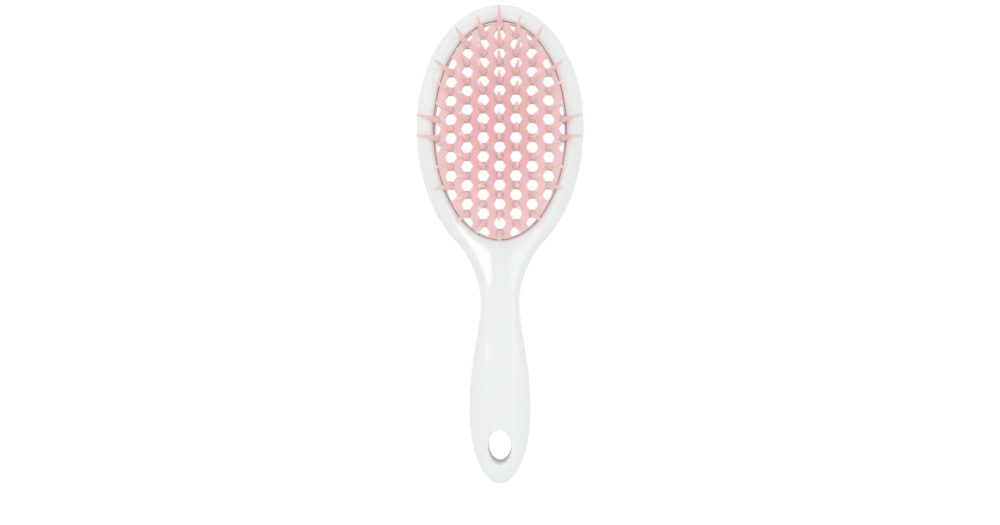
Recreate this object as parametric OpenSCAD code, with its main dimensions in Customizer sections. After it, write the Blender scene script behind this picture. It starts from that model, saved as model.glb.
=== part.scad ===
// Blow-dry brush: a moulded body with a ring head and a handle, and a honeycomb pad set in the ring.
// It lies on its back: +Z is the way the bristles point, +Y the top of the head, Z = 0 the table.

/* [Head] */
// Width of the head at its widest line
head_w = 84; // [80:1:92]
// Height of the head above its widest line
head_up = 60.75; // [58:0.25:66]
// Half height of the oval that shapes the head below its widest line
head_low = 68; // [64:1:72]
// Angle below the widest line at which the head turns into the neck
shoulder = 58; // [54:1:62]
// Thickness of the ring at its crest
ring_t = 12; // [11.5:0.25:14]
// Width of the outer flank of the ring, from the outline to its crest
ring_flank = 4.5; // [3.5:0.25:5]

/* [Opening] */
// Width of the ring beside the opening
ring_side = 9; // [8:0.25:10]
// Width of the ring above the opening
ring_top = 8; // [7.5:0.25:10]
// Length of the opening
open_l = 110; // [104:1:112]
// How far the ring's face dips towards the opening
dish = 1.5; // [1:0.1:1.8]
// Radius of the lip's nose
lip_r = 1; // [0.6:0.1:1.2]
// How much the back of the opening flares outwards
flare = 1; // [0.5:0.1:1.5]

/* [Handle] */
// Distance from the head's widest line to the narrowest place of the neck
neck_drop = 88; // [84:1:100]
// Width of the neck
neck_w = 19.5; // [18:0.5:24]
// Distance from the narrowest place of the neck to the end of the handle
handle_l = 91.25; // [86:1:110]
// Width of the grip
grip_w = 31; // [27:0.5:34]
// Length of the rounded end, from the widest place of the grip
end_l = 37.25; // [34:0.25:42]
// Width of the level front face along the handle
face_w = 13.4; // [13:0.2:15]
// How much thicker the grip is than the ring
grip_rise = 2.5; // [0:0.1:4]
// Slope of the flanks, as a fall for each millimetre across
flank_slope = 0.34; // [0.2:0.02:0.4]
// Rounding of the front edges
edge_r = 3; // [1.5:0.25:3.5]
// Rounding of the back edges
back_r = 3; // [1.5:0.25:3.5]
// Height of the widest line of the sides above the back
side_h = 5; // [4:0.25:6]

/* [Hang hole] */
// Width of the hang hole
hang_w = 11.7; // [8:0.1:12.5]
// Length of the hang hole
hang_l = 17.5; // [13:0.1:18.5]
// Distance from the end of the handle to the middle of the hang hole
hang_up = 19; // [18:0.5:28]
// Bevel round the mouths of the hang hole
hang_bevel = 0.6; // [0.2:0.1:0.8]

/* [Groove for the pad] */
// Height of the groove's floor above the back
groove_z = 7.6; // [7:0.1:7.8]
// Height of the groove
groove_h = 1.6; // [1.5:0.1:1.7]
// Depth of the groove under the lip
groove_d = 2.3; // [2:0.1:2.6]
// How far the ledge under the pad stands into the opening
ledge_w = 1; // [0.9:0.1:1.2]

/* [Pad] */
// Rise of the pad's dome above its rim
dome_h = 5; // [3:0.25:6]
// Thickness of the pad
pad_t = 2; // [1.8:0.1:2.2]
// Height of the dome's rim above the groove's floor
pad_rise = 2.4; // [2.3:0.1:2.6]
// Gap between the pad and the lip
pad_gap = 0.5; // [0.3:0.1:0.6]
// Width of the plain rim round the pad's holes
pad_rim = 0.8; // [0.8:0.1:1.2]
// Thickness of the flange that sits in the groove
flange_t = 1.4; // [1.2:0.1:1.4]
// Clearance round the flange
flange_gap = 0.3; // [0.2:0.1:0.5]

/* [Honeycomb and bristles] */
// Distance between the holes of a column
pitch = 9.3; // [9:0.1:10]
// Width of a hole across its flats
hole_w = 5.4; // [4.5:0.1:5.4]
// How far the middle hole lies above the middle of the opening
grid_up = 0.85; // [0:0.05:1.5]
// Length of a bristle
bristle_l = 16.4; // [12:0.2:18]
// Diameter of a bristle where it leaves the pad
bristle_d = 3.4; // [2.8:0.1:3.4]
// Diameter of the bristle's tip
tip_d = 1; // [0.6:0.1:1.4]
// Lean of the outermost bristles at the sides, as a slope
lean_x = 0.74; // [0.3:0.02:0.8]
// Lean of the outermost bristles at the ends, as a slope
lean_y = 0.44; // [0.2:0.02:0.6]

/* [Hidden] */
$fn = 64;

// Places along the brush, from its middle
overall_l = head_up + neck_drop + handle_l;
top_y = overall_l / 2;
end_y = -overall_l / 2;
head_y = top_y - head_up;
neck_y = head_y - neck_drop;
grip_y = end_y + end_l;
hang_y = end_y + hang_up;

// The opening, an oval with these half axes about open_y
open_a = head_w / 2 - ring_side;
open_b = open_l / 2;
open_y = top_y - ring_top - open_b;

// The shoulder, where the oval of the head ends, and the way that it heads there
turn = [head_w / 2 * cos(shoulder), head_y - head_low * sin(shoulder)];
turn_way = -[head_w / 2 * sin(shoulder), head_low * cos(shoulder)];
turn_dir = turn_way / norm(turn_way);

// Stations round one half of the outline: head, neck, grip and rounded end
head_n = 34;
neck_n = 8;
grip_n = 9;
end_n = 10;
half_n = head_n + neck_n + grip_n + end_n;
all_n = 2 * half_n;

// Fractions of the way from the crest to the opening or to the middle of the handle
across = [1, 0.9, 0.76, 0.52, 0.25, 0];
// Angles round the front and the back edge
front_turns = [90, 66, 42, 20, 0];
back_turns = [32, 62, 90];
skin_n = len(across) + len(front_turns) + len(back_turns) + 1;
// A station beside the opening has five more points, up the inner wall
ring_n = skin_n + 5;

// Crown of the handle's face, width of the dished lip, end of the middle line
face_crown = 0.4;
dish_w = 3.6;
spine_stop = 8;
// The flank is widest above the shoulder and narrow round its bend: width and station of each, and
// the station from which it narrows again to the waist of the neck
shoulder_flank = 6.4;
shoulder_at = head_n - 4;
bend_flank = 4.2;
bend_at = head_n + 1;
bend_end = head_n + 4;
neck_end = head_n + neck_n;
// Bevel at the foot of the opening, and the swell of the grip: half its length, and its middle
foot_bevel = 0.5;
grip_half = 45;
grip_mid = end_y + 58;
// How far the handle of each curve of the outline reaches, from the shoulder down to the grip
shoulder_pull = 10;
neck_pull = 10.5;
waist_pull = 14;
grip_pull = 26;

function bezier(p, t) = pow(1 - t, 3) * p[0] + 3 * t * pow(1 - t, 2) * p[1]
    + 3 * t * t * (1 - t) * p[2] + pow(t, 3) * p[3];
function smooth(t) = t * t * (3 - 2 * t);
function mix(a, b, t) = a + (b - a) * smooth(t);

neck_curve = [turn, turn + shoulder_pull * turn_dir, [neck_w / 2, neck_y + neck_pull], [neck_w / 2, neck_y]];
grip_curve = [[neck_w / 2, neck_y], [neck_w / 2, neck_y - waist_pull],
    [grip_w / 2, grip_y + grip_pull], [grip_w / 2, grip_y]];

// Outline: point number i of the right half, from the top of the head to the end of the handle
function head_edge(t) = let (a = 90 - t * (90 + shoulder))
    [head_w / 2 * cos(a), head_y + (a > 0 ? head_up : head_low) * sin(a)];
function end_edge(t) = [grip_w / 2 * cos(90 * t), grip_y - end_l * sin(90 * t)];
function edge(i) = i < head_n ? head_edge(i / head_n)
    : i < head_n + neck_n ? bezier(neck_curve, (i - head_n) / neck_n)
    : i < head_n + neck_n + grip_n ? bezier(grip_curve, (i - head_n - neck_n) / grip_n)
    : end_edge((i - head_n - neck_n - grip_n) / end_n);

// Inner line: the opening beside the head, the middle line along the handle; d is a step outwards
function inner(i, d = 0) = i <= head_n
    ? let (a = 90 - 180 * i / head_n) [(open_a + d) * cos(a), open_y + (open_b + d) * sin(a)]
    : i < head_n + neck_n ? let (t = (i - head_n) / neck_n)
        [0, edge(i)[1] + (open_y - open_b - turn[1]) * (1 - t)]
    : i < head_n + neck_n + grip_n ? [0, edge(i)[1]]
    : [0, grip_y - (end_l - spine_stop) * sin(90 * (i - head_n - neck_n - grip_n) / end_n)];

// Width of the flank at station i
neck_flank = (neck_w - face_w) / 2;
grip_flank = (grip_w - face_w) / 2;
function flank(i) = i < shoulder_at ? mix(ring_flank, shoulder_flank, i / shoulder_at)
    : i < bend_at ? mix(shoulder_flank, bend_flank, (i - shoulder_at) / (bend_at - shoulder_at))
    : i < neck_end ? mix(bend_flank, neck_flank, max(0, i - bend_end) / (neck_end - bend_end))
    : i < head_n + neck_n + grip_n ? mix(neck_flank, grip_flank, (i - head_n - neck_n) / grip_n)
    : norm(edge(i) - inner(i)) - face_w / 2 * cos(90 * (i - head_n - neck_n - grip_n) / end_n);

// Height of the crest line at y, with the swell of the grip
function crest_z(y) = ring_t
    + (abs(y - grip_mid) < grip_half ? grip_rise * pow(cos(90 * (y - grip_mid) / grip_half), 2) : 0);
// Distance of a place in plan from the edge of the opening
function from_opening(p) = let (q = p - [0, open_y], s = norm([q[0] / open_a, q[1] / open_b]))
    norm(q) * (1 - 1 / s);
// How far the face lies below the crest near the opening, with the rounded nose of the lip
function dip(r) = (r < dish_w ? dish * pow(1 - r / dish_w, 2) : 0)
    + (r < lip_r ? lip_r * (1 - sqrt(1 - pow(1 - max(r, 0) / lip_r, 2))) : 0);

// The points of station i: over the front, round the side, along the back and up the inner wall
function rib(i) = let (
    p = edge(i), q = inner(i), w = norm(q - p), way = (q - p) / w,
    f = flank(i), r = min(edge_r, 0.8 * f), top = crest_z((p[1] + q[1]) / 2),
    roll = top - side_h - f * flank_slope)
    concat(
        [for (v = across) let (s = f + v * (w - f), c = p + s * way)
            [c[0], c[1], top + face_crown * (1 - pow(1 - v, 2)) * (i > head_n ? 1 : 0) - dip(from_opening(c))]],
        [for (a = front_turns) let (s = r * (1 - cos(a)), c = p + s * way)
            [c[0], c[1], top - flank_slope * (f - s) - roll * (1 - sin(a)) - dip(from_opening(c))]],
        [for (a = back_turns) let (c = p + back_r * (1 - cos(a)) * way)
            [c[0], c[1], side_h * (1 - sin(a))]],
        i > head_n ? [for (k = [0:5]) [q[0], q[1], 0]]
            : [for (c = [[flare + foot_bevel, 0], [flare, foot_bevel], [-ledge_w, groove_z], [groove_d, groove_z],
                [groove_d, groove_z + groove_h], [0, groove_z + groove_h]])
                let (g = inner(i, c[0])) [g[0], g[1], c[1]]]);

// Number of point k of station i, with the points on the middle line shared by both halves
function shared(j, k) = j >= head_n && (k == 0 || k >= skin_n - 1);
function spot(i, k) = let (j = i % all_n, m = k % ring_n)
    j > half_n && shared(all_n - j, m) ? (all_n - j) * ring_n + m : j * ring_n + m;
function beside_opening(i) = i < head_n || i >= all_n - head_n;

body_points = [for (i = [0:all_n - 1]) let (right = i <= half_n, ps = rib(right ? i : all_n - i))
    for (p = ps) right ? p : [-p[0], p[1], p[2]]];
body_faces = [for (i = [0:all_n - 1], k = [0:(beside_opening(i) ? ring_n : skin_n - 1) - 1])
    let (a = spot(i, k), b = spot(i, k + 1), c = spot(i + 1, k + 1), d = spot(i + 1, k))
    each [[a, b, c], [a, c, d]]];
// The two halves share whole points there, so a face may shrink to a line, which is left out
solid_faces = [for (f = body_faces) if (f[0] != f[1] && f[1] != f[2] && f[2] != f[0]) f];

// Hang hole with its bevelled mouths, at the middle of the handle's end
hang_top = crest_z(hang_y) + face_crown;
module hang_hole() {
    translate([0, hang_y, 0]) scale([1, hang_l / hang_w, 1]) {
        translate([0, 0, -1]) cylinder(d = hang_w, h = hang_top + 2);
        translate([0, 0, hang_top - hang_bevel])
            cylinder(d1 = hang_w, d2 = hang_w + 4 * hang_bevel, h = 2 * hang_bevel);
        translate([0, 0, -hang_bevel])
            cylinder(d1 = hang_w + 4 * hang_bevel, d2 = hang_w, h = 2 * hang_bevel);
    }
}

// White moulded body: ring head, neck and handle in one piece
module body() {
    color([0.92, 0.93, 0.92]) difference() {
        polyhedron(points = body_points, faces = solid_faces, convexity = 6);
        hang_hole();
    }
}

// The dome is a patch of a torus, so that its rim is level all round the oval
arc_x = open_a * open_a / (2 * dome_h);
arc_y = open_b * open_b / (2 * dome_h);
rim_z = groove_z + pad_rise;
dome_spare = 3;
dome_turn = asin((open_b + dome_spare) / arc_y);
function dome_z(x, y) = rim_z + dome_h - arc_y
    + sqrt(pow(arc_y - arc_x + sqrt(arc_x * arc_x - x * x), 2) - y * y);

module oval(d = 0) {
    scale([1, (open_b + d) / (open_a + d)]) circle(r = open_a + d);
}

// Columns of the honeycomb, and how far a place lies from the middle of the oval, where 1 is its edge
column = pitch * sin(60);
grid_nx = ceil(open_a / column);
grid_ny = ceil(open_b / pitch) + 1;
function reach(x, y) = norm([x / open_a, y / open_b]);
function row_y(i, j) = grid_up + (j + (abs(i) % 2) / 2) * pitch;
hole_reach = 0.99;

module holes() {
    for (i = [-grid_nx:grid_nx], j = [-grid_ny:grid_ny])
        if (reach(i * column, row_y(i, j)) < hole_reach)
            translate([i * column, row_y(i, j)]) circle(d = hole_w / cos(30), $fn = 6);
}

// Shell of the dome, turned about an axis across the brush
module dome() {
    translate([0, 0, rim_z + dome_h - arc_y]) rotate([0, 90, 0]) rotate([0, 0, 180 - dome_turn])
        rotate_extrude(angle = 2 * dome_turn, $fn = 200) intersection() {
            translate([arc_y - arc_x, 0]) difference() {
                circle(r = arc_x, $fn = 88);
                circle(r = arc_x - pad_t, $fn = 88);
            }
            translate([arc_y - 2 * dome_h - pad_t, -head_w / 2]) square([4 * dome_h, head_w]);
        }
}

// A bristle stands on the web between two holes of a column and leans outwards, more so near the rim.
// The outermost ones are drawn in so far that their feet stand only foot_over past the dome's edge.
bristle_reach = 0.984;
foot_over = 0.3;
rim_reach = 1 - (pad_gap + bristle_d / 2 - foot_over) / open_a;
lean_power = 1.35;
bristle_sides = 6;
root_z = 0.8;

module bristle(x, y) {
    f = reach(x, y);
    k = min(1, rim_reach / f);
    across_lean = lean_x * k * x / open_a * pow(k * f, lean_power);
    along_lean = lean_y * k * y / open_b * pow(k * f, lean_power);
    translate([k * x, k * y, dome_z(k * x, k * y)]) hull() {
        translate([0, 0, -root_z]) cylinder(d = bristle_d, h = root_z / 4, $fn = bristle_sides);
        rotate([0, atan(norm([across_lean, along_lean])), atan2(along_lean, across_lean)])
            translate([0, 0, bristle_l - tip_d / 2])
                cylinder(d1 = tip_d, d2 = tip_d / 2, h = tip_d / 2, $fn = bristle_sides);
    }
}

// Pink honeycomb pad: domed plate, flange and bristles moulded as one
module bristle_pad() {
    color([0.95, 0.68, 0.69]) translate([0, open_y, 0]) {
        intersection() {
            dome();
            linear_extrude(rim_z + 2 * dome_h) difference() {
                oval(-pad_gap);
                intersection() {
                    holes();
                    oval(-pad_gap - pad_rim);
                }
            }
        }
        translate([0, 0, groove_z]) linear_extrude(flange_t) difference() {
            oval(groove_d - flange_gap);
            oval(-pad_gap - pad_rim / 2);
        }
        for (i = [-grid_nx:grid_nx], j = [-grid_ny:grid_ny]) {
            x = i * column;
            y = row_y(i, j) + pitch / 2;
            if (reach(x, y) < bristle_reach) bristle(x, y);
        }
    }
}

body();
bristle_pad();
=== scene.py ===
"""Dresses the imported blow-dry brush: a white moulded body and a pink bristle pad, seen from above."""
import math

import bmesh
import bpy
from mathutils import Matrix, Vector


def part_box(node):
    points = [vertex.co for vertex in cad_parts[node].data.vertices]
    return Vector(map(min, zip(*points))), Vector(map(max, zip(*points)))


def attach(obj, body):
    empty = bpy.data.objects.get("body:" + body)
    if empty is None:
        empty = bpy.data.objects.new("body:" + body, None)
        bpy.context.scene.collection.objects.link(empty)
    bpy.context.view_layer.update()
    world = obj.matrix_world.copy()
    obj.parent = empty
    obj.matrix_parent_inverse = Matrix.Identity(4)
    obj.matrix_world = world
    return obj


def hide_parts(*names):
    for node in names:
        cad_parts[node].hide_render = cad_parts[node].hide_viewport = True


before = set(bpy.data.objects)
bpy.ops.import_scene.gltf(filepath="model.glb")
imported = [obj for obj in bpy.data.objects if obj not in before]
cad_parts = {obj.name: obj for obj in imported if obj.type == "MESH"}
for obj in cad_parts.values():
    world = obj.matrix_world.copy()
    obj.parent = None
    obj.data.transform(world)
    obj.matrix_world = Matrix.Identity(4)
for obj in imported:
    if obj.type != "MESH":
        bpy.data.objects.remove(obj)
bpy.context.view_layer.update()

# Body. The ring round the pad, the neck and the handle are one moulding in white ABS.
# The ring's face dips to a rounded lip, and a groove behind the lip holds the pad. The handle
# has a level face between two soft creases, falling flanks, and a hang hole with rounded mouths.
MM = 0.001
body_low, body_high = (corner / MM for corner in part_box("body"))
head_w = body_high.x - body_low.x
top_y = body_high.y
end_y = body_low.y
head_up = 60.75
head_low = 68
shoulder = math.radians(58)
ring_t = 12
ring_flank = 4.5
ring_side = 9
ring_top = 8
open_l = 110
open_up_less = 1.2
neck_drop = 88
neck_w = 19.5
grip_w = 31
end_l = 37.25
shoulder_pull = 10
neck_pull = 10.5
waist_pull = 14
grip_pull = 26
face_w = 13.4
grip_rise = 2.5
flank_slope = 0.34
edge_r = 3
edge_share = 0.8
back_r = 3
side_h = 5
face_crown = 0.05
dish = 1.2
dish_w = 3.2
lip_r = 1
shoulder_flank = 6.4
bend_flank = 4.2
grip_half = 45
grip_mid_up = 58

hang_half_w = 11.7 / 2
hang_half_l = 17.5 / 2
hang_up = 20
hang_band = 12
mouth_r = 0.6

head_y = top_y - head_up
neck_y = head_y - neck_drop
grip_y = end_y + end_l
grip_mid = end_y + grip_mid_up
hang_y = end_y + hang_up
open_a = head_w / 2 - ring_side
open_b = open_l / 2
open_b_up = open_b - open_up_less
open_y = top_y - ring_top - open_b

# Stations down one half of the outline, and the share of the rounded end above the hang hole. Round
# the hole the stations stay about square to its edge, and spread towards the tip.
head_n = 34
neck_n = 9
grip_n = 10
above_n = 3
end_n = 16
above_share = 0.15
even_share = 0.484
spread_power = 5.2
neck_start = head_n
grip_start = neck_start + neck_n
end_start = grip_start + grip_n
hang_start = end_start + above_n
half_n = hang_start + end_n
# The flank is widest at one station above the shoulder and narrow between two round its bend
shoulder_at = neck_start - 4
bend_at = neck_start + 1
bend_end = neck_start + 4


def smooth(t):
    """Share from 0 to 1 that starts and ends gently."""
    t = min(max(t, 0), 1)
    return t * t * (3 - 2 * t)


def mix(a, b, t):
    """Value that goes gently from a to b as t goes from 0 to 1."""
    return a + (b - a) * smooth(t)


def bezier(a, b, c, d, t):
    """Place on the smooth curve from a to d that is pulled towards b and c."""
    u = 1 - t
    return u ** 3 * a + 3 * t * u * u * b + 3 * t * t * u * c + t ** 3 * d


turn = Vector((head_w / 2 * math.cos(shoulder), head_y - head_low * math.sin(shoulder)))
turn_way = Vector((-head_w / 2 * math.sin(shoulder), -head_low * math.cos(shoulder))).normalized()
waist = Vector((neck_w / 2, neck_y))
widest = Vector((grip_w / 2, grip_y))
up_brush = Vector((0, 1))


def end_edge(t):
    """Place on the rounded end of the handle, a share of the way from its side to its tip."""
    angle = math.pi / 2 * t
    return Vector((grip_w / 2 * math.cos(angle), grip_y - end_l * math.sin(angle)))


def edge(i):
    """Place in plan of station i on the outline of the right half, from the top to the handle's end."""
    if i < neck_start:
        angle = math.pi / 2 - i / head_n * (math.pi / 2 + shoulder)
        height = head_up if angle > 0 else head_low
        return Vector((head_w / 2 * math.cos(angle), head_y + height * math.sin(angle)))
    if i < grip_start:
        return bezier(turn, turn + shoulder_pull * turn_way, waist + neck_pull * up_brush, waist,
                      (i - neck_start) / neck_n)
    if i < end_start:
        return bezier(waist, waist - waist_pull * up_brush, widest + grip_pull * up_brush, widest,
                      (i - grip_start) / grip_n)
    if i < hang_start:
        return end_edge(above_share * (i - end_start) / above_n)
    u = (i - hang_start) / end_n
    round_end = even_share * u + (1 - even_share) * u ** spread_power
    return end_edge(above_share + (1 - above_share) * round_end)


def half_length(side):
    """Half axis of the opening along the brush, which is a little shorter on the upper side."""
    return open_b_up if side > 0 else open_b


def reach(x, y):
    """How far a place lies from the middle of the opening, where 1 is its edge."""
    return math.hypot(x / open_a, y / half_length(y))


def opening(i, out):
    """Place beside the opening, a distance out from its edge, at station i."""
    angle = math.pi / 2 - math.pi * i / head_n
    along = (half_length(angle) + out) * math.sin(angle)
    return Vector(((open_a + out) * math.cos(angle), open_y + along))


def mouth(i, out):
    """Place beside the hang hole, a distance out from its edge, at station i."""
    angle = math.pi * (i - hang_start) / end_n
    along = (hang_half_l + out) * math.cos(angle)
    return Vector(((hang_half_w + out) * math.sin(angle), hang_y + along))


# How far out from the opening, the hang hole and the opening at the back the plain faces end
lip_end = 1.05
mouth_end = 0.65
foot_end = 1.5
halvings = 24


def inner(i, out_opening):
    """Where the face, or the back, of station i ends towards the middle."""
    if i <= neck_start:
        return opening(i, out_opening)
    if i >= hang_start:
        return mouth(i, mouth_end)
    share = (i - neck_start) / (hang_start - neck_start)
    start = opening(neck_start, out_opening).y - edge(neck_start).y
    stop = mouth(hang_start, mouth_end).y - edge(hang_start).y
    return Vector((0, edge(i).y + start + (stop - start) * share))


def from_opening(c):
    """How far out from the edge of the opening a place lies, on the line to the opening's middle."""
    x, y = c.x, c.y - open_y
    return math.hypot(x, y) * (1 - 1 / reach(x, y))


def rounding(out, radius):
    """How far a rounded edge of that radius has dropped at a distance out from the edge."""
    if out >= radius:
        return 0
    share = 1 - max(out, 0) / radius
    return radius * (1 - math.sqrt(1 - share * share))


def beyond_face(c):
    """Less than nought on the level face of the handle, which ends in an arc below the hang hole."""
    return (c.x / (face_w / 2)) ** 2 + (max(0, hang_y - c.y) / hang_band) ** 2 - 1


def station(i):
    """Outline place, the way inwards and the width of the flank at station i."""
    p = edge(i)
    step = 0.01
    along = (edge(i + step) - edge(i - step)).normalized()
    square = Vector((along.y, -along.x))
    line = (inner(i, lip_end) - p).normalized()
    share = smooth((i - neck_start) / neck_n)
    way = (square * (1 - share) + line * share).normalized()
    if i < shoulder_at:
        return p, way, mix(ring_flank, shoulder_flank, i / shoulder_at)
    if i < bend_at:
        return p, way, mix(shoulder_flank, bend_flank, (i - shoulder_at) / (bend_at - shoulder_at))
    near, far = 0, (inner(i, lip_end) - p).length
    for _ in range(halvings):
        middle = (near + far) / 2
        if beyond_face(p + way * middle) > 0:
            near = middle
        else:
            far = middle
    return p, way, mix(bend_flank, near, (i - bend_end) / (grip_start - bend_end))


# Round the shoulder's bend the face rolls down softly to its crease. The roll is widest at the bend,
# stops short of the middle, and fades out where the neck begins.
roll_slope = 0.13
roll_w = 10
roll_w_start = 1
roll_half_n = 6
roll_start = neck_start - roll_half_n
roll_end = neck_start + roll_half_n
roll_fade = 1.3
roll_stop_x = 4
roll_stop_share = 1.2
roll_samples = 4
crease_places = []
for k in range(roll_samples * (roll_end + 2 - roll_start)):
    i = roll_start + k / roll_samples
    p, way, flank = station(i)
    c = p + way * flank
    wide = min(mix(roll_w_start, roll_w, (i - roll_start) / roll_half_n),
               (c.x - roll_stop_x) * roll_stop_share)
    crease_places.append((c, wide * (1 - smooth((i - roll_end) / roll_fade))))


def roll_drop(c):
    """How far the face has dropped at a place by the roll towards the shoulder's crease."""
    away, wide = min(((c - place).length, wide) for place, wide in crease_places)
    return roll_slope * (wide - away) ** 2 / (2 * wide) if away < wide else 0


def face_z(c, out_mouth=mouth_end):
    """Height of the front face at a place in plan: ring, swell of the grip, shoulder, lip and mouth."""
    height = ring_t - roll_drop(c)
    if abs(c.y - grip_mid) < grip_half:
        height += grip_rise * math.cos(math.pi / 2 * (c.y - grip_mid) / grip_half) ** 2
    out = from_opening(c)
    if out < dish_w:
        height -= dish * (1 - out / dish_w) ** 2
    return height - rounding(out, lip_r) - rounding(out_mouth, mouth_r)


# Points of the face, as shares of its width from the lip or the middle out to the crease
face_shares = (0, 0.2, 0.4, 0.58, 0.74, 0.88, 0.965, 1)
crisp = 0.4
front_turns = (90, 68, 46, 26, 10, 0)
back_turns = (22, 45, 68, 90)
back_shares = (0.4, 0.75, 1)


def skin(i):
    """Points of station i from the inner end of the face, round the side, to that of the back."""
    p, way, flank = station(i)
    crest = p + way * flank
    face_end = inner(i, lip_end)
    crown = face_crown * smooth((i - neck_start) / neck_n)
    points = []
    for share in face_shares:
        c = face_end.lerp(crest, share)
        lift = crown * max(0, -beyond_face(c)) if i > neck_start else 0
        points.append(Vector((c.x, c.y, face_z(c) + lift)))
    top = face_z(crest)
    c = p + way * (flank - crisp)
    points.append(Vector((c.x, c.y, top - flank_slope * crisp)))
    radius = min(edge_r, edge_share * flank)
    roll = top - side_h - flank * flank_slope
    for turn_angle in front_turns:
        a = math.radians(turn_angle)
        s = radius * (1 - math.cos(a))
        c = p + way * s
        slope_z = top - flank_slope * (flank - s)
        points.append(Vector((c.x, c.y, slope_z - roll * (1 - math.sin(a)))))
    for turn_angle in back_turns:
        a = math.radians(turn_angle)
        c = p + way * back_r * (1 - math.cos(a))
        points.append(Vector((c.x, c.y, side_h * (1 - math.sin(a)))))
    back_start = p + way * back_r
    back_end = inner(i, foot_end)
    for share in back_shares:
        c = back_start.lerp(back_end, share)
        points.append(Vector((c.x, c.y, 0)))
    return points


# Lip of the ring, from its edge outwards, and the inner wall from the back up: distance out, height
lip_outs = (0, 0.07, 0.3, 0.65)
groove_z = 7.6
groove_top = 9.2
groove_d = 2.3
wall = ((1.14, 0.13), (1.0, 0.5), (0.1, 3.8), (-0.85, 7.2), (-0.93, 7.45), (-0.75, groove_z),
        (groove_d, groove_z), (groove_d, groove_top), (0, groove_top))
mouth_outs = (0, 0.04, 0.18, 0.4)


def ring_section(i):
    """Closed section through the ring at station i: the lip, round the side and up the inner wall."""
    points = []
    for out in lip_outs:
        c = opening(i, out)
        points.append(Vector((c.x, c.y, face_z(c))))
    points += skin(i)
    for out, height in wall:
        c = opening(i, out)
        points.append(Vector((c.x, c.y, height)))
    return points + points[:1]


def hang_section(i):
    """Closed section through the handle beside the hang hole at station i."""
    points = []
    for out in mouth_outs:
        c = mouth(i, out)
        lift = face_crown * max(0, -beyond_face(c))
        points.append(Vector((c.x, c.y, face_z(c, out) + lift)))
    deep = points[0].z
    points += skin(i)
    for out in reversed(mouth_outs):
        c = mouth(i, out)
        points.append(Vector((c.x, c.y, rounding(out, mouth_r))))
    c = mouth(i, 0)
    points.append(Vector((c.x, c.y, deep / 2)))
    return points + points[:1]


def add_strip(bm, first, last, section, layer=None, marks=()):
    """Adds a grid with a row for each station, moves it onto the sections and marks some columns."""
    rows = [section(i) for i in range(first, last + 1)]
    columns = len(rows[0]) - 1
    grid = bmesh.ops.create_grid(bm, x_segments=columns, y_segments=len(rows) - 1, size=0.5)
    for vert in grid["verts"]:
        k = round((vert.co.x + 0.5) * columns)
        row = round((vert.co.y + 0.5) * (len(rows) - 1))
        vert.co = rows[row][k]
        if k in marks:
            vert[layer] = marks[k]


def finish_mesh(bm, name, smooth_angle=None):
    """Turns the bmesh, drawn in millimetres, into an object in metres with smooth faces."""
    bmesh.ops.scale(bm, vec=(MM, MM, MM), verts=bm.verts)
    mesh = bpy.data.meshes.new(name)
    bm.to_mesh(mesh)
    bm.free()
    mesh.shade_smooth()
    if smooth_angle:
        mesh.set_sharp_from_angle(angle=math.radians(smooth_angle))
    piece = bpy.data.objects.new(name, mesh)
    bpy.context.scene.collection.objects.link(piece)
    return piece


# The three corners of the groove are marked, each with its own number, to stay sharp under the
# smoothing. The wall of the hang hole is marked for its duller finish and its painted shade.
bm = bmesh.new()
sharp_layer = bm.verts.layers.int.new("sharp")
groove_column = len(lip_outs) + len(skin(0)) + wall.index((groove_d, groove_z))
groove_marks = {column: column for column in range(groove_column, groove_column + 3)}
add_strip(bm, 0, head_n, ring_section, sharp_layer, groove_marks)
add_strip(bm, neck_start, hang_start, skin)
bore_layer = bm.verts.layers.float.new("in_bore")
bore_column = len(hang_section(hang_start)) - 3
bore_marks = {bore_column: 1, bore_column + 1: 1}
add_strip(bm, hang_start, half_n, hang_section, bore_layer, bore_marks)
merge_gap = 0.002
bmesh.ops.remove_doubles(bm, verts=bm.verts, dist=merge_gap)
bmesh.ops.mirror(bm, geom=bm.verts[:] + bm.edges[:] + bm.faces[:], matrix=Matrix.Identity(4),
                 merge_dist=merge_gap, axis="X")
bmesh.ops.recalc_face_normals(bm, faces=bm.faces)
crease_layer = bm.edges.layers.float.new("crease_edge")
for crease in bm.edges:
    ends = [vert[sharp_layer] for vert in crease.verts]
    if ends[0] and ends[0] == ends[1]:
        crease[crease_layer] = 1
bm.verts.layers.int.remove(sharp_layer)
body = finish_mesh(bm, "white_body")
subdivision = body.modifiers.new("smooth moulding", "SUBSURF")
subdivision.levels = subdivision.render_levels = 2


def linear(hex_colour):
    """Linear colour, with alpha, of an sRGB hex value such as ECEDEC."""
    channels = [int(hex_colour[k:k + 2], 16) / 255 for k in (0, 2, 4)]
    return [c / 12.92 if c <= 0.04045 else ((c + 0.055) / 1.055) ** 2.4 for c in channels] + [1]


def add_node(tree, kind, inputs=None, **settings):
    """Adds a node with its settings, and gives each input a value or a link."""
    node = tree.nodes.new(kind)
    for name, value in settings.items():
        setattr(node, name, value)
    for name, value in (inputs or {}).items():
        if isinstance(value, bpy.types.NodeSocket):
            tree.links.new(value, node.inputs[name])
        else:
            node.inputs[name].default_value = value
    return node


def blend(tree, factor, a, b):
    """Mixes two colours, each a value or a link, and gives the socket of the result."""
    values = {"Factor": factor, "A": a, "B": b}
    return add_node(tree, "ShaderNodeMix", values, data_type="RGBA").outputs["Result"]


def share_between(tree, value, low, high, interpolation="LINEAR"):
    """Gives the socket of a share that goes from 0 to 1 as the value goes from low to high."""
    limits = {"Value": value, "From Min": low, "From Max": high, "To Min": 0, "To Max": 1}
    node = add_node(tree, "ShaderNodeMapRange", limits, interpolation_type=interpolation)
    return node.outputs["Result"]


def new_material(name):
    material = bpy.data.materials.new(name)
    material.use_nodes = True
    material.node_tree.nodes.clear()
    return material, material.node_tree
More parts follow.
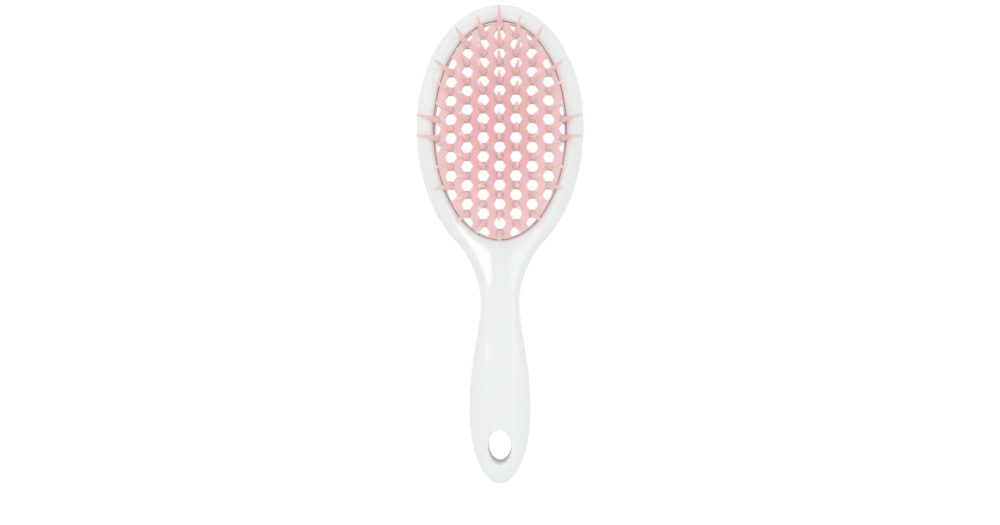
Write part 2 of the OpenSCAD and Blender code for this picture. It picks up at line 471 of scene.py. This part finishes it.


# Glossy white ABS, moulded in a polished tool: sharp highlights, broken a little by the faint
# waviness that shrinkage leaves, about 6 mm from crest to crest. The pin that leaves the hang hole
# isn't polished, so the hole's wall is dull. That wall is also painted a little darker and greyer, as
# painted shade inside the hole.
white_abs, tree = new_material("glossy white ABS")
place = add_node(tree, "ShaderNodeTexCoord").outputs["Object"]
flow = add_node(tree, "ShaderNodeTexNoise", {"Vector": place, "Scale": 1 / (22 * MM), "Detail": 2})
tone = blend(tree, flow.outputs["Fac"], linear("EBEFED"), linear("EDF1F0"))
bore_finish_and_shade = add_node(tree, "ShaderNodeAttribute", attribute_name="in_bore").outputs["Fac"]
# Painted shade: the wall of the hang hole is painted a little darker and greyer, for the shade inside
# the hole.
tone = blend(tree, bore_finish_and_shade, tone, linear("E7E2E1"))
wave = add_node(tree, "ShaderNodeTexNoise", {"Vector": place, "Scale": 1 / (6 * MM), "Detail": 1})
relief = add_node(tree, "ShaderNodeBump", {
    "Height": wave.outputs["Fac"], "Strength": 0.15, "Distance": 0.02 * MM})
polish = add_node(tree, "ShaderNodeMapRange", {
    "Value": flow.outputs["Fac"], "To Min": 0.07, "To Max": 0.11})
polish = add_node(tree, "ShaderNodeMix", {"Factor": bore_finish_and_shade, "A": polish.outputs["Result"], "B": 0.6})
plastic = add_node(tree, "ShaderNodeBsdfPrincipled", {
    "Base Color": tone, "Roughness": polish.outputs["Result"], "IOR": 1.54,
    "Normal": relief.outputs["Normal"], "Subsurface Weight": 0.3, "Subsurface Scale": 2 * MM,
    "Subsurface Radius": (1.0, 0.62, 0.55)})
add_node(tree, "ShaderNodeOutputMaterial", {"Surface": plastic.outputs["BSDF"]})
body.data.materials.append(white_abs)
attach(body, "root")
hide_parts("body")

# Bristle pad. One moulding in pink nylon: a domed plate with a honeycomb of six-sided holes, whose
# edges are rounded, and a flange that sits in the ring's groove. A tapered bristle with a flared
# foot stands on each web between two holes of a column, and leans outwards more towards the rim.
dome_h = 5
pad_t = 2
pad_rise = 2.4
rim_z = groove_z + pad_rise
pad_gap = 0.42
pad_rim = 0.6
flange_t = 1.4
flange_gap = 0.3
pitch = 9.3
sixth = math.radians(60)
column_step = pitch * math.sin(sixth)
hole_w = 5.4
hole_corner_r = 1.0
hole_reach = 0.995
inmost_reach = 0.94
arc_x = open_a ** 2 / (2 * dome_h)
arc_y = open_b ** 2 / (2 * dome_h)


def dome_z(x, y):
    """Height of the dome at a place measured from the middle of the opening."""
    across = arc_y - arc_x + math.sqrt(arc_x ** 2 - x ** 2)
    return rim_z + dome_h - arc_y + math.sqrt(across ** 2 - y ** 2)


def past(c, out):
    """Over 1 where a place lies beyond the oval that runs a distance out from the opening's edge."""
    return math.hypot(c.x / (open_a + out), c.y / (half_length(c.y) + out))


# Angles, from a corner of a hole, at which its outline has points: the corner's arc and the flat
hole_half = hole_w / 2
corner_middle = (hole_half - hole_corner_r) / math.cos(sixth / 2)
corner_turn = math.atan2(hole_corner_r / 2, corner_middle + hole_corner_r * math.cos(sixth / 2))
hole_turns = (-corner_turn, 0, corner_turn, sixth / 2)
hole_points = 6 * len(hole_turns)


def cell_place(middle, k):
    """Point k of the edge of the web round a hole, where the webs of its neighbours begin."""
    corner, part = divmod(k, len(hole_turns))
    angle = sixth * corner + hole_turns[part]
    radius = pitch / 2 / math.cos(sixth / 2 - abs(hole_turns[part]))
    return middle + radius * Vector((math.cos(angle), math.sin(angle)))


def hole_radius(way):
    """Distance from a hole's middle to its wall in that direction, with the corners rounded."""
    from_corner = math.atan2(way.y, way.x) % sixth
    from_corner = min(from_corner, sixth - from_corner)
    if from_corner > corner_turn:
        return hole_half / math.cos(sixth / 2 - from_corner)
    side = corner_middle * math.sin(from_corner)
    return corner_middle * math.cos(from_corner) + math.sqrt(hole_corner_r ** 2 - side ** 2)


def hole_place(middle, k, out):
    """Point k round a hole, a distance out from its wall. The pad's plain rim cuts the outer holes
    short, and their edges are rounded half as much there."""
    near = middle * inmost_reach / max(inmost_reach, reach(*middle))
    far = cell_place(middle, k)
    short_of_rim = out / 2 - pad_gap - pad_rim
    for _ in range(halvings):
        c = (near + far) / 2
        from_middle = c - middle
        if from_middle.length < hole_radius(from_middle) + out and past(c, short_of_rim) < 1:
            near = c
        else:
            far = c
    return near


def extrude_edges(bm, edges):
    """Extrudes open edges and gives the set of new points."""
    made = bmesh.ops.extrude_edge_only(bm, edges=edges)["geom"]
    return {vert for vert in made if isinstance(vert, bmesh.types.BMVert)}


def extrude_loop(bm, verts):
    """Extrudes a closed loop of points and gives the new points in the same order."""
    fresh = extrude_edges(bm, [bm.edges.get((verts[k - 1], verts[k])) for k in range(len(verts))])
    return [next(e.other_vert(v) for e in v.link_edges if e.other_vert(v) in fresh) for v in verts]


def place_hole(verts, middle, out, drop):
    """Moves the points of a loop round a hole, a distance out from its wall and below the dome."""
    for k, vert in enumerate(verts):
        c = hole_place(middle, k, out)
        vert.co = (c.x, c.y, dome_z(c.x, c.y) - drop)


def place_rim(verts, out, drop, height=None):
    """Moves points straight out or in onto an oval, below the dome or at a height of their own."""
    for vert in verts:
        c = vert.co.xy / past(vert.co, out)
        vert.co = (c.x, c.y, dome_z(c.x, c.y) - drop if height is None else height)


# Each step of a hole, from the web's face down to its back: distance out from the wall, and drop
hole_steps = ((0.36, 0), (0.27, 0), (0.14, 0.04), (0.045, 0.14), (0, 0.28), (0, 1.82), (0.1, pad_t))
# Each step of the rim and the flange: distance out from the opening's edge, drop below the dome, and
# the height where that is level
plate_edge = -pad_gap - pad_rim / 2
flange_out = groove_d - flange_gap
rim_steps = ((-0.65, 0, None), (-0.52, 0.05, None), (-0.45, 0.15, None), (-pad_gap, 0.3, None),
             (-pad_gap, 0, groove_z + flange_t), (flange_out, 0, groove_z + flange_t),
             (flange_out, 0, groove_z), (plate_edge, 0, groove_z), (plate_edge, pad_t, None))
rim_cuts = 180

bm = bmesh.new()
grid_nx = math.ceil(open_a / column_step)
grid_ny = math.ceil(open_b / pitch) + 1
holes = []
for i in range(-grid_nx, grid_nx + 1):
    for j in range(-grid_ny, grid_ny + 1):
        middle = Vector((i * column_step, (j + (abs(i) % 2) / 2) * pitch))
        if all(past(cell_place(middle, k), plate_edge) > 1 for k in range(hole_points)):
            continue
        has_hole = reach(*middle) < hole_reach
        circle = bmesh.ops.create_circle(bm, cap_ends=not has_hole, segments=hole_points, radius=1)
        ring = circle["verts"]
        for k, vert in enumerate(ring):
            vert.co.xy = cell_place(middle, k)
        if has_hole:
            ring = extrude_loop(bm, ring)
            for k, vert in enumerate(ring):
                vert.co.xy = hole_place(middle, k, hole_steps[0][0])
            holes.append((middle, ring))
        else:
            bmesh.ops.poke(bm, faces=ring[0].link_faces[:])
bmesh.ops.remove_doubles(bm, verts=bm.verts, dist=merge_gap)
for cut in range(rim_cuts):
    angle = 2 * math.pi * cut / rim_cuts
    cut_a, cut_b = open_a + plate_edge, half_length(math.sin(angle)) + plate_edge
    outwards = Vector((math.cos(angle) / cut_a, math.sin(angle) / cut_b, 0))
    on_edge = (cut_a * math.cos(angle), cut_b * math.sin(angle), 0)
    bmesh.ops.bisect_plane(bm, geom=bm.verts[:] + bm.edges[:] + bm.faces[:], dist=merge_gap / 4,
                           plane_co=on_edge, plane_no=outwards.normalized(), clear_outer=True)
round_holes = {vert for middle, ring in holes for vert in ring}
rim = [e for e in bm.edges if e.is_boundary and not set(e.verts) <= round_holes]
place_rim({vert for e in rim for vert in e.verts}, plate_edge, 0, height=0)
face_verts = bm.verts[:]
under = bmesh.ops.duplicate(bm, geom=bm.verts[:] + bm.edges[:] + bm.faces[:])["vert_map"]
for vert in face_verts:
    surface = dome_z(vert.co.x, vert.co.y)
    vert.co.z = surface
    under[vert].co.z = surface - pad_t
for middle, ring in holes:
    place_hole([under[vert] for vert in ring], middle, *hole_steps[-1])
    for out, drop in hole_steps[1:]:
        ring = extrude_loop(bm, ring)
        place_hole(ring, middle, out, drop)
for out, drop, height in rim_steps:
    fresh = extrude_edges(bm, rim)
    rim = [e for e in bm.edges if e.is_boundary and set(e.verts) <= fresh]
    place_rim(fresh, out, drop, height)
bmesh.ops.remove_doubles(bm, verts=bm.verts, dist=merge_gap)
bmesh.ops.recalc_face_normals(bm, faces=bm.faces)

bristle_l = 16.4
bristle_reach = 0.984
bristle_foot_r = 1.7
foot_over_rim = 0.3
rim_reach = 1 - (pad_gap + bristle_foot_r - foot_over_rim) / open_a
lean_x = 0.74
lean_y = 0.48
lean_power = 1.35
foot_h = 3
bristle_sides = 14
# Outline of a bristle, from its root in the web to its rounded tip: radius and height
bristle_outline = ((0, -0.8), (1.85, -0.8), (1.85, -0.2), (1.74, 0.12), (1.62, 0.5), (1.5, 1.3),
                   (1.28, 3.4), (1.02, 7.0), (0.78, 11.0), (0.62, 14.6), (0.56, 15.7), (0.4, 16.15),
                   (0.18, 16.36), (0, bristle_l))
turned = bmesh.new()
up_layer = turned.verts.layers.float.new("up_bristle")
for radius, height in bristle_outline:
    turned.verts.new((radius, 0, height))[up_layer] = max(0, height / bristle_l)
turned.verts.ensure_lookup_table()
for k in range(len(bristle_outline) - 1):
    turned.edges.new((turned.verts[k], turned.verts[k + 1]))
bmesh.ops.spin(turned, geom=turned.verts[:] + turned.edges[:], cent=(0, 0, 0), axis=(0, 0, 1),
               dvec=(0, 0, 0), angle=2 * math.pi, steps=bristle_sides, use_merge=True)
bmesh.ops.remove_doubles(turned, verts=turned.verts, dist=merge_gap)
bmesh.ops.recalc_face_normals(turned, faces=turned.faces)
bristle_mesh = bpy.data.meshes.new("bristle")
turned.to_mesh(bristle_mesh)
turned.free()


def add_bristle(bm, x, y):
    """Adds a bristle at a place, its foot level on the dome and its shaft leaning outwards."""
    share = min(1, rim_reach / reach(x, y))
    x, y = x * share, y * share
    lean = Vector((lean_x * x / open_a, lean_y * y / open_b)) * reach(x, y) ** lean_power
    axis = Vector((lean.x, lean.y, 1)).normalized()
    tilt = Vector((0, 0, 1)).rotation_difference(axis)
    foot = Vector((x, y, dome_z(x, y)))
    before = len(bm.verts)
    bm.from_mesh(bristle_mesh)
    bm.verts.ensure_lookup_table()
    for vert in bm.verts[before:]:
        height = vert.co.z
        flat = Vector((vert.co.x, vert.co.y, 0))
        turned_flat = flat.lerp(tilt @ flat, smooth(height / foot_h))
        vert.co = foot + (axis * height if height > 0 else Vector((0, 0, height))) + turned_flat


bristles = bmesh.new()
for i in range(-grid_nx, grid_nx + 1):
    for j in range(-grid_ny, grid_ny + 1):
        x = i * column_step
        y = (j + (abs(i) % 2) / 2) * pitch + pitch / 2
        if reach(x, y) < bristle_reach:
            add_bristle(bristles, x, y)
bristles.to_mesh(bristle_mesh)
bristles.free()
bm.from_mesh(bristle_mesh)
bpy.data.meshes.remove(bristle_mesh)
bmesh.ops.translate(bm, vec=(0, open_y, 0), verts=bm.verts)
pad = finish_mesh(bm, "pink_bristle_pad", smooth_angle=55)

# Satin pink nylon, moulded in a lightly blasted tool: soft broad highlights, and light that soaks a
# little way in. The webs are painted paler towards the rim, as painted light where fewer bristles shade
# them. The bristles are painted brighter, and paler towards their thin tips, as painted light standing
# in for light that passes through them. Grain of about 0.6 mm.
pink_nylon, tree = new_material("satin pink nylon")
place = add_node(tree, "ShaderNodeTexCoord").outputs["Object"]
up = add_node(tree, "ShaderNodeAttribute", attribute_name="up_bristle").outputs["Fac"]
painted_stem_light = share_between(tree, up, 0, 0.08, "SMOOTHSTEP")
painted_tip_light = share_between(tree, up, 0.25, 1, "SMOOTHSTEP")
cloud = add_node(tree, "ShaderNodeTexNoise", {"Vector": place, "Scale": 1 / (9 * MM), "Detail": 2})
web = blend(tree, cloud.outputs["Fac"], linear("F2BFC0"), linear("F6C8C8"))
across = add_node(tree, "ShaderNodeMapping", {
    "Vector": place, "Location": (0, -open_y / open_b, 0),
    "Scale": (1 / (open_a * MM), 1 / (open_b * MM), 0)})
from_middle = add_node(tree, "ShaderNodeVectorMath", {0: across.outputs["Vector"]}, operation="LENGTH")
# Painted light: the webs are painted paler towards the rim, where fewer bristles shade them.
web = blend(tree, share_between(tree, from_middle.outputs["Value"], 0.4, 1), web, linear("F9D5D4"))
# Painted light: the bristles are painted brighter than the webs, and their tips paler still, for light
# passing through them.
shade = blend(tree, painted_stem_light, web, linear("FFD8D6"))
shade = blend(tree, painted_tip_light, shade, linear("FFE2E2"))
grain = add_node(tree, "ShaderNodeTexNoise", {"Vector": place, "Scale": 1 / (0.6 * MM), "Detail": 2})
relief = add_node(tree, "ShaderNodeBump", {
    "Height": grain.outputs["Fac"], "Strength": 0.2, "Distance": 0.02 * MM})
plastic = add_node(tree, "ShaderNodeBsdfPrincipled", {
    "Base Color": shade, "Roughness": 0.38, "IOR": 1.53, "Normal": relief.outputs["Normal"],
    "Subsurface Weight": 0.6, "Subsurface Scale": 2.5 * MM, "Subsurface Radius": (1.0, 0.4, 0.35)})
add_node(tree, "ShaderNodeOutputMaterial", {"Surface": plastic.outputs["BSDF"]})
pad.data.materials.append(pink_nylon)
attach(pad, "root")
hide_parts("bristle_pad")

# Floor. A white sheet that the brush lies on. The camera and reflections see it almost at white,
# and it keeps the brush's soft shadow.
floor_half = 2
bm = bmesh.new()
bmesh.ops.create_grid(bm, x_segments=1, y_segments=1, size=floor_half / MM)
floor = finish_mesh(bm, "floor")
white_sheet, tree = new_material("matt white sheet")
paper = add_node(tree, "ShaderNodeBsdfDiffuse", {"Color": linear("EEEEEE")})
seen = add_node(tree, "ShaderNodeLightPath").outputs
any_ray = add_node(tree, "ShaderNodeMath", {
    0: seen["Is Camera Ray"], 1: seen["Is Glossy Ray"]}, operation="MAXIMUM")
any_ray = add_node(tree, "ShaderNodeMath", {
    0: any_ray.outputs[0], 1: seen["Is Transmission Ray"]}, operation="MAXIMUM")
glow = add_node(tree, "ShaderNodeEmission", {"Color": linear("FFFFFF"), "Strength": 0.94})
sheet_seen = add_node(tree, "ShaderNodeBsdfDiffuse", {"Color": linear("626262")})
lit = add_node(tree, "ShaderNodeAddShader", {0: glow.outputs[0], 1: sheet_seen.outputs[0]})
sheet = add_node(tree, "ShaderNodeMixShader", {
    0: any_ray.outputs[0], 1: paper.outputs[0], 2: lit.outputs[0]})
add_node(tree, "ShaderNodeOutputMaterial", {"Surface": sheet.outputs[0]})
floor.data.materials.append(white_sheet)

# Light. A plain white studio all round. A broad lamp on the right lays the bristles' soft shadows on
# the pad, a wide panel at the upper left keeps that side bright, and a small soft box on the left
# gives the bright band along the shoulder's crease.
world = bpy.data.worlds.new("white studio")
world.use_nodes = True
world.node_tree.nodes.clear()
tree = world.node_tree
seen = add_node(tree, "ShaderNodeLightPath").outputs
room = add_node(tree, "ShaderNodeBackground", {"Color": linear("FFFFFF"), "Strength": 0.82})
backdrop = add_node(tree, "ShaderNodeBackground", {"Color": linear("FFFFFF"), "Strength": 1})
either = add_node(tree, "ShaderNodeMixShader", {
    0: seen["Is Camera Ray"], 1: room.outputs[0], 2: backdrop.outputs[0]})
add_node(tree, "ShaderNodeOutputWorld", {"Surface": either.outputs[0]})
bpy.context.scene.world = world


def add_lamp(name, tilt, round_from_left, distance, size, power):
    """Adds a rectangular lamp that faces the brush, tilted from upright by so many degrees towards a
    side that is counted from the left round past the handle's end."""
    lamp = bpy.data.lights.new(name, "AREA")
    lamp.shape = "RECTANGLE"
    lamp.size, lamp.size_y = size
    lamp.energy = power
    holder = bpy.data.objects.new(name, lamp)
    bpy.context.scene.collection.objects.link(holder)
    tilt, side = math.radians(tilt), math.radians(round_from_left)
    way = Vector((-math.sin(tilt) * math.cos(side), -math.sin(tilt) * math.sin(side), math.cos(tilt)))
    holder.location = way * distance
    holder.rotation_euler = way.to_track_quat("Z", "Y").to_euler()


add_lamp("broad_lamp", tilt=22, round_from_left=165, distance=1.5, size=(0.9, 0.9), power=2.6)
add_lamp("left_panel", tilt=50, round_from_left=-45, distance=1.8, size=(1.8, 1.8), power=3.2)
add_lamp("soft_box", tilt=12, round_from_left=18, distance=1.0, size=(0.15, 0.25), power=0.36)

# Camera. It looks down from 0.42 m above the outline of the ring, a little to the right of the
# middle and turned to face it.
photo_w = 1000
sensor_w = 36
mm_per_pixel = 0.5
camera_distance_px = 840
outline_z = ring_t / 2
camera_z = outline_z + camera_distance_px * mm_per_pixel
camera_y = -9
camera_x = 10
camera_data = bpy.data.cameras.new("camera")
camera_data.sensor_width = sensor_w
camera_data.lens = camera_distance_px * sensor_w / photo_w
camera = bpy.data.objects.new("camera", camera_data)
camera.location = Vector((camera_x, camera_y, camera_z)) * MM
camera.rotation_euler = (0, math.atan2(camera_x, camera_z - outline_z), 0)
bpy.context.scene.collection.objects.link(camera)
bpy.context.scene.camera = camera
bpy.context.scene.view_settings.view_transform = "Standard"
